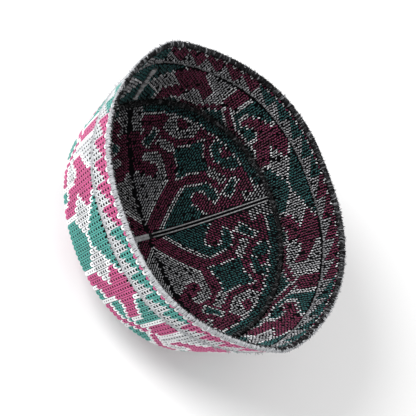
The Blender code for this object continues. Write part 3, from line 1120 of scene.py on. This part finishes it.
def rim_frame(place):
    """Points of the roll's middle line, lowest on the left, with the ways up and out of the cap there."""
    _, _, up = wall_frame(place, np.zeros(len(place)))
    drop = ROLL_DROP * (0.6 - 0.4 * np.sin(2 * pi * place))[:, None]
    return on_curve(RIM, place) - drop * up, up, unit(on_curve(OUTWARD, place))


def yarn_change(place, chance):
    """Which of the four wrap shapes a thread has: the light yarn is pulled over the rim on the left side."""
    wander = 0.35 * np.sin(2 * pi * (3 * place + 0.13)) + 0.45 * np.sin(2 * pi * (7 * place + 0.4))
    lean = 1.2 - 2.4 * np.sin(2 * pi * (place + 0.09)) + wander
    return np.clip(np.round(lean + 0.6 * chance.standard_normal(len(place))), 0, 3).astype(int)


def build_rim(settings):
    """Overlocked rim: a roll wrapped in light thread outside and dark thread inside, with loose fibres."""
    middle, _, _ = rim_frame(np.arange(CURVE_STEPS) / CURVE_STEPS)
    core = round_cord("rim_roll", middle, ROLL_RADIUS, cord_material("rim_roll_thread", (0.05, 0.05, 0.055)))
    dress(core, "light_overlock", "rim_overlock")
    chance = np.random.default_rng(STITCH_SEED + 5)
    light = settings.overlock_light
    dark = settings.overlock_dark

    shapes = [
        arc_thread(-0.45, turn + 0.1, ROLL_RADIUS, width=0.0010, height=0.0005, drop_start=0.0012)
        for turn in YARN_CHANGES
    ]
    place = rim_places(LIGHT_WRAPS, chance)
    scatter(
        "rim_light_wraps",
        "light_overlock",
        shapes,
        rim_frame(place),
        varied(chance, light, LIGHT_WRAPS, 0.88, 0.4),
        thread_material("rim_light_yarn", plies=1.6),
        wrap_sizes(chance, LIGHT_WRAPS, 0.34),
        yarn_change(place, chance),
        wobble=0.45,
        seed=6,
    )

    shapes = [
        arc_thread(turn - 0.1, pi * 1.12, ROLL_RADIUS, width=0.0009, height=0.0005, drop_end=0.0016)
        for turn in YARN_CHANGES
    ]
    place = rim_places(DARK_WRAPS, chance)
    scatter(
        "rim_dark_wraps",
        "dark_overlock",
        shapes,
        rim_frame(place),
        flecked(chance, varied(chance, dark, DARK_WRAPS, 0.5, 1.0), 0.27, light, 0.05, 0.6, 2),
        thread_material("rim_dark_yarn", plies=1.6, sheen=0.0),
        wrap_sizes(chance, DARK_WRAPS, 0.5),
        yarn_change(place, chance),
        wobble=0.5,
        seed=7,
    )

    for name, slot, count, part, tone in (
        ("rim_light_fibres", "light_overlock", 1700, 0, np.array(light) * 0.9),
        ("rim_dark_fibres", "dark_overlock", 2000, 1, dark),
    ):
        place = rim_places(count, chance, 3.0)
        point, up, out = rim_frame(place)
        change = YARN_CHANGES[yarn_change(place, chance)]
        low = change - 0.15 if part else np.full(count, -0.5)
        high = np.full(count, 1.15 * pi) if part else change
        angle = (low + (high - low) * chance.random(count))[:, None]
        away = out * np.cos(angle) + up * np.sin(angle)
        heading = unit(away + 1.1 * chance.standard_normal((count, 3)))
        facing = unit(np.cross(heading, chance.standard_normal((count, 3))))
        colours = flecked(chance, varied(chance, tone, count, 0.6, 0.7), 0.4 * part, light, 0.2, 0.6)
        scatter(
            name,
            slot,
            [hair(length=0.0010)],
            (point + away * (ROLL_RADIUS + 0.0003), facing, heading),
            colours,
            thread_material(name + "_yarn", sheen=0.0),
            varied(chance, (1, 1, 1), count, 0.4, 1.0 + 0.4 * part, 2),
            wobble=0.0,
        )


def build_line(settings):
    """Grey line of whip stitches round the band, on both of its faces."""
    chance = np.random.default_rng(STITCH_SEED + 8)
    for label, side, tone, count, shape, lift in (
        ("outer", 1, settings.line_grey, 700, (0.0023, 0.0010, 0.0007), 0.0001),
        ("inner", -1, settings.line_inner, 420, (0.0017, 0.0010, 0.0005), 0.0),
    ):
        place = rim_places(count, chance)
        wander = 0.007 * np.sin(2 * pi * place * 5 + 0.6) + 0.005 * np.sin(2 * pi * place * 11 + 2)
        depth = LINE_DEPTH + wander + 0.004 * chance.standard_normal(count)
        point, normal, up = wall_frame(place, depth)
        scatter(
            f"band_line_{label}",
            "grey_stitching",
            [dash_stitch(*shape)],
            (point + side * normal * (settings.cloth_thickness / 2 + lift), side * normal, up),
            varied(chance, tone, count, 0.7, 0.5),
            thread_material(f"band_line_{label}_yarn"),
            stitch_sizes(chance, count, 0.5),
            wobble=0.35,
            seed=9,
        )
    place = rim_places(LINE_FIBRES, chance, 3.0)
    point, normal, up = wall_frame(place, LINE_DEPTH + 0.012 * chance.standard_normal(LINE_FIBRES))
    heading = unit(chance.standard_normal((LINE_FIBRES, 3)) + 0.6 * normal)
    root = point + normal * (settings.cloth_thickness / 2 + 0.0004)
    scatter(
        "band_line_fibres",
        "grey_stitching",
        [hair(length=0.0019)],
        (root, unit(np.cross(heading, up)), heading),
        varied(chance, settings.line_grey, LINE_FIBRES, 0.9, 0.5),
        thread_material("band_line_fibre_yarn"),
        varied(chance, (1, 1, 1), LINE_FIBRES, 0.5, 1.0),
        wobble=0.0,
    )


def seam_corner():
    """Inward direction of the sewn corner between wall and crown."""
    inner_edge = on_crown(*(0.95 * (EDGE[:, :2] - CROWN_CENTRE)).T)
    wall = unit(RIM - EDGE)
    crown = unit(inner_edge - EDGE)
    return unit(wall + crown), wall, crown


def build_crown_seam(settings):
    """Dark overlocked seam allowance in the inner corner between crown and wall."""
    inward, wall, crown = seam_corner()
    centres = EDGE + inward * SEAM_INSET
    material = cord_material("crown_seam_thread", (0.006, 0.006, 0.007))
    core = round_cord("crown_seam_roll", centres, SEAM_RADIUS, material)
    dress(core, "dark_overlock", "crown_seam_ridge")
    chance = np.random.default_rng(STITCH_SEED + 10)
    light = settings.overlock_light
    place = rim_places(SEAM_WRAPS, chance)
    colours = varied(chance, settings.overlock_dark, SEAM_WRAPS, 0.4, 0.9)
    colours = flecked(chance, colours, 0.4, light, 0.02, 0.3, 2)
    root = rim_places(SEAM_FIBRES, chance, 3.0)
    angle = (pi * chance.random(SEAM_FIBRES))[:, None]
    away = unit(on_curve(inward, root)) * np.sin(angle) + unit(on_curve(crown - wall, root)) * np.cos(angle)
    lie = unit(away + 1.1 * chance.standard_normal((SEAM_FIBRES, 3)))
    facing = unit(np.cross(lie, chance.standard_normal((SEAM_FIBRES, 3))))
    scatter(
        "crown_seam_fibres",
        "dark_overlock",
        [hair(length=0.0016)],
        (on_curve(centres, root) + away * (SEAM_RADIUS + 0.0001), facing, lie),
        varied(chance, light, SEAM_FIBRES, 0.01, 0.45, 3),
        thread_material("crown_seam_fibre_yarn", sheen=0.0),
        varied(chance, (1, 1, 1), SEAM_FIBRES, 0.5, 1.0),
        wobble=0.0,
    )
    scatter(
        "crown_seam_wraps",
        "dark_overlock",
        [arc_thread(-0.2, pi + 0.2, SEAM_RADIUS, width=0.0010, height=0.0003)],
        (on_curve(centres, place), unit(on_curve(inward, place)), unit(on_curve(crown - wall, place))),
        colours,
        thread_material("crown_seam_yarn", plies=1.6, sheen=0.0),
        wrap_sizes(chance, SEAM_WRAPS, 0.7),
        wobble=0.6,
        seed=11,
    )


def strip(name, point, across, normal, half, lift, material):
    """Flat strip along a line of points, with its half width at each point and its lift over the cloth."""
    rings = []
    for out, rise in ((-1.0, -STRIP_SINK), (-0.8, lift), (0.8, lift), (1.0, -STRIP_SINK)):
        rings.append(point + across * (out * half)[:, None] - normal * rise)
    count = len(point)
    faces = grid_faces(4, count, round_rows=True)
    faces += [(end + count, end + 2 * count, end + 3 * count, end) for end in (0, count - 1)]
    return shell_object(name, np.concatenate(rings), faces, material)


def welt_plan(x):
    """Offset and half width of a welt: two thin ridges on the right, one flat tape on the left."""
    right = np.clip((x / CROWN_HALF_WIDTH - 0.005) / 0.03, 0.0, 1.0)
    return 0.00093 + 0.00027 * right, 0.00096 - 0.00030 * right


def build_cross_seam(settings):
    """Two light welts along the inside of the cross seam, each a line of whip stitches on a flat strip."""
    material = cord_material("welt_strip_cloth", (0.012, 0.012, 0.013))
    chance = np.random.default_rng(STITCH_SEED + 12)
    low = settings.cloth_thickness / 2
    for name, sign in (("cross_seam_front", -1), ("cross_seam_rear", 1)):
        x = np.linspace(-0.96, 0.965, 161) * CROWN_HALF_WIDTH
        offset, half = welt_plan(x)
        point, normal, ahead = crown_frame(x, sign * offset, np.tile((1.0, 0.0), (len(x), 1)))
        across = unit(np.cross(normal, ahead))
        base = strip(name + "_strip", point - normal * low, across, normal, half, 0.0008, material)
        dress(base, "grey_stitching", name + "_welt")
        x = np.linspace(-0.955, 0.96, WELT_STITCHES) * CROWN_HALF_WIDTH
        x = x[(x < -0.0005) | (x > 0.003)]
        count = len(x)
        offset, half = welt_plan(x)
        tape = (x < 0)[:, None]
        point, normal, ahead = crown_frame(x, sign * offset, np.where(tape, (0.25, 1.0), (1.0, 0.15)))
        size = np.ones((count, 3))
        size[:, 0] = np.where(x < 0, 1.1, half / 0.0007) * (0.85 + 0.3 * chance.random(count))
        scatter(
            name + "_stitches",
            "grey_stitching",
            [dash_stitch(length=0.0019, width=0.0009, height=0.0004)],
            (point - normal * (low + 0.00072), -normal, ahead),
            varied(chance, settings.welt_grey, count, 0.6, 0.7) * np.where(tape, 1.4, 1.0),
            thread_material(name + "_yarn"),
            size,
            wobble=0.08,
            seed=13,
        )


def build_band_tape(settings):
    """Strip of grey stitches over the wall's closing seam, inside the rear corner."""
    chance = np.random.default_rng(STITCH_SEED + 14)
    low = settings.cloth_thickness / 2
    depth = np.linspace(0.44, 0.93, 34)
    point, normal, up = wall_frame(np.zeros(len(depth)), depth)
    across = -unit(np.cross(up, normal))
    half = 0.0018 + 0.0002 * np.sin(depth * 40)
    material = cord_material("band_tape_cloth", (0.10, 0.10, 0.105))
    base = strip("band_tape_strip", point - normal * low, across, normal, half, 0.0011, material)
    dress(base, "grey_stitching", "band_seam_tape")
    depth = np.linspace(0.445, 0.925, TAPE_STITCHES) + 0.004 * chance.standard_normal(TAPE_STITCHES)
    point, normal, up = wall_frame(np.zeros(TAPE_STITCHES), depth)
    scatter(
        "band_tape_stitches",
        "grey_stitching",
        [dash_stitch(length=0.0041, width=0.0011, height=0.0005)],
        (point - normal * (low + 0.00105), -normal, unit(np.cross(up, normal) + 0.3 * up)),
        varied(chance, settings.welt_grey, TAPE_STITCHES, 0.3, 1.3),
        thread_material("band_tape_yarn"),
        stitch_sizes(chance, TAPE_STITCHES, 0.7),
        wobble=0.4,
        seed=15,
    )


# Settings, operators and panel


def colour_setting(name, description, default):
    """Colour that a user may change."""
    return bpy.props.FloatVectorProperty(
        name=name, description=description, default=default, size=3, min=0.0, max=1.0, subtype="COLOR"
    )


def length_setting(name, description, default):
    """Length that a user may change."""
    return bpy.props.FloatProperty(
        name=name, description=description, default=default, unit="LENGTH", precision=5
    )


class CapSettings(bpy.types.PropertyGroup):
    """Sizes and colours of the cap."""

    cloth_thickness: length_setting("Cloth", "Thickness of the ground cloth", 0.0007)
    band_rows: bpy.props.IntProperty(name="Band rows", description="Stitch rows round the band", default=160)
    band_row_width: length_setting("Band row", "Width of a row of stitches on the band", 0.0035)
    band_pitch: length_setting("Band stitch", "Length of a chain stitch on the band", 0.00292)
    crown_row: length_setting("Crown row", "Width of a row of stitches on the crown", 0.0031)
    crown_pitch: length_setting("Crown stitch", "Length of a chain stitch on the crown", 0.0023)
    stitch_height: length_setting("Stitch height", "Height of a chain stitch over the cloth", 0.00042)
    white_yarn: colour_setting("White yarn", "White yarn on the outside", (0.62, 0.63, 0.645))
    teal_yarn: colour_setting("Teal yarn", "Teal yarn on the outside", (0.055, 0.30, 0.26))
    pink_yarn: colour_setting("Pink yarn", "Pink yarn on the outside", (0.52, 0.072, 0.22))
    outline_yarn: colour_setting("Outline yarn", "Yarn of the outlines outside", (0.80, 0.81, 0.82))
    # Back colours: partly the black thread mixed into the back, partly painted shade of the cap's dim inside
    white_back_shaded: colour_setting("White back", "Back of the white stitches", (0.42, 0.42, 0.44))
    teal_back_shaded: colour_setting("Teal back", "Back of the teal stitches", (0.009, 0.097, 0.096))
    pink_back_shaded: colour_setting("Pink back", "Back of the pink stitches", (0.184, 0.013, 0.061))
    outline_back_shaded: colour_setting("Outline back", "Back of the outlines", (0.74, 0.74, 0.76))
    # The cloth is black; the step from its shade colour to its light colour is painted shade and highlight of
    # the weave
    cloth_dark: colour_setting("Cloth shade", "Dark part of the ground cloth", (0.0015, 0.0015, 0.002))
    cloth_light: colour_setting("Cloth light", "Light part of the ground cloth", (0.004, 0.004, 0.005))
    overlock_light: colour_setting("Light overlock", "Thread over the rim's outside", (0.46, 0.47, 0.49))
    overlock_dark: colour_setting("Dark overlock", "Thread over the rim's inside", (0.010, 0.010, 0.011))
    line_grey: colour_setting("Grey line", "Line of stitches outside", (0.45, 0.46, 0.48))
    line_inner: colour_setting("Inner line", "Line of stitches inside", (0.20, 0.20, 0.21))
    welt_grey: colour_setting("Welt", "Stitches on the inner seams", (0.30, 0.30, 0.31))
    floor_colour: colour_setting("Floor", "Studio floor", (0.96, 0.96, 0.96))
    sky_strength: bpy.props.FloatProperty(name="Sky", description="Strength of the even light", default=0.80)
    key_power: bpy.props.FloatProperty(
        name="Key", description="Power of the key light", default=35.5, unit="POWER"
    )


class CAP_OT_stage(bpy.types.Operator):
    """Floor, lights and camera"""

    bl_idname = "cap.stage"
    bl_label = "Stage"

    def execute(self, context):
        build_stage(context.scene.kufi_cap)
        return {"FINISHED"}


class CAP_OT_band(bpy.types.Operator):
    """Ground cloth and embroidery of the band"""

    bl_idname = "cap.band"
    bl_label = "Band"

    def execute(self, context):
        settings = context.scene.kufi_cap
        build_band_cloth(settings)
        build_band_outer(settings)
        build_band_inner(settings)
        return {"FINISHED"}


class CAP_OT_crown(bpy.types.Operator):
    """Ground cloth and embroidery of the crown's two halves"""

    bl_idname = "cap.crown"
    bl_label = "Crown"

    def execute(self, context):
        settings = context.scene.kufi_cap
        for name, sign in (("crown_front", -1), ("crown_rear", 1)):
            build_crown_cloth(settings, name, sign)
            build_crown_outer(settings, name, sign)
            build_crown_inner(settings, name, sign)
        return {"FINISHED"}


class CAP_OT_rim(bpy.types.Operator):
    """Overlocked rim"""

    bl_idname = "cap.rim"
    bl_label = "Rim"

    def execute(self, context):
        build_rim(context.scene.kufi_cap)
        return {"FINISHED"}


class CAP_OT_line(bpy.types.Operator):
    """Grey line of stitches round the band"""

    bl_idname = "cap.line"
    bl_label = "Grey line"

    def execute(self, context):
        build_line(context.scene.kufi_cap)
        return {"FINISHED"}


class CAP_OT_seams(bpy.types.Operator):
    """Crown seam, cross seam and the band's closing seam"""

    bl_idname = "cap.seams"
    bl_label = "Seams"

    def execute(self, context):
        settings = context.scene.kufi_cap
        build_crown_seam(settings)
        build_cross_seam(settings)
        build_band_tape(settings)
        return {"FINISHED"}


OPERATORS = (CAP_OT_stage, CAP_OT_band, CAP_OT_crown, CAP_OT_rim, CAP_OT_line, CAP_OT_seams)


class CAP_PT_panel(bpy.types.Panel):
    """Settings and steps of the cap"""

    bl_label = "Kufi Cap"
    bl_idname = "CAP_PT_panel"
    bl_space_type = "VIEW_3D"
    bl_region_type = "UI"
    bl_category = "Kufi Cap"

    def draw(self, context):
        settings = context.scene.kufi_cap
        for name in CapSettings.__annotations__:
            self.layout.prop(settings, name)
        for operator in OPERATORS:
            self.layout.operator(operator.bl_idname)


CLASSES = (CapSettings, *OPERATORS, CAP_PT_panel)


def register():
    """Register the classes and the scene's settings."""
    for kind in CLASSES:
        bpy.utils.register_class(kind)
    bpy.types.Scene.kufi_cap = bpy.props.PointerProperty(type=CapSettings)


def unregister():
    """Take the classes and the settings away again."""
    del bpy.types.Scene.kufi_cap
    for kind in reversed(CLASSES):
        bpy.utils.unregister_class(kind)


def main():
    """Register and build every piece."""
    register()
    for operator in OPERATORS:
        group, name = operator.bl_idname.split(".")
        getattr(getattr(bpy.ops, group), name)()


if __name__ == "__main__":
    main()
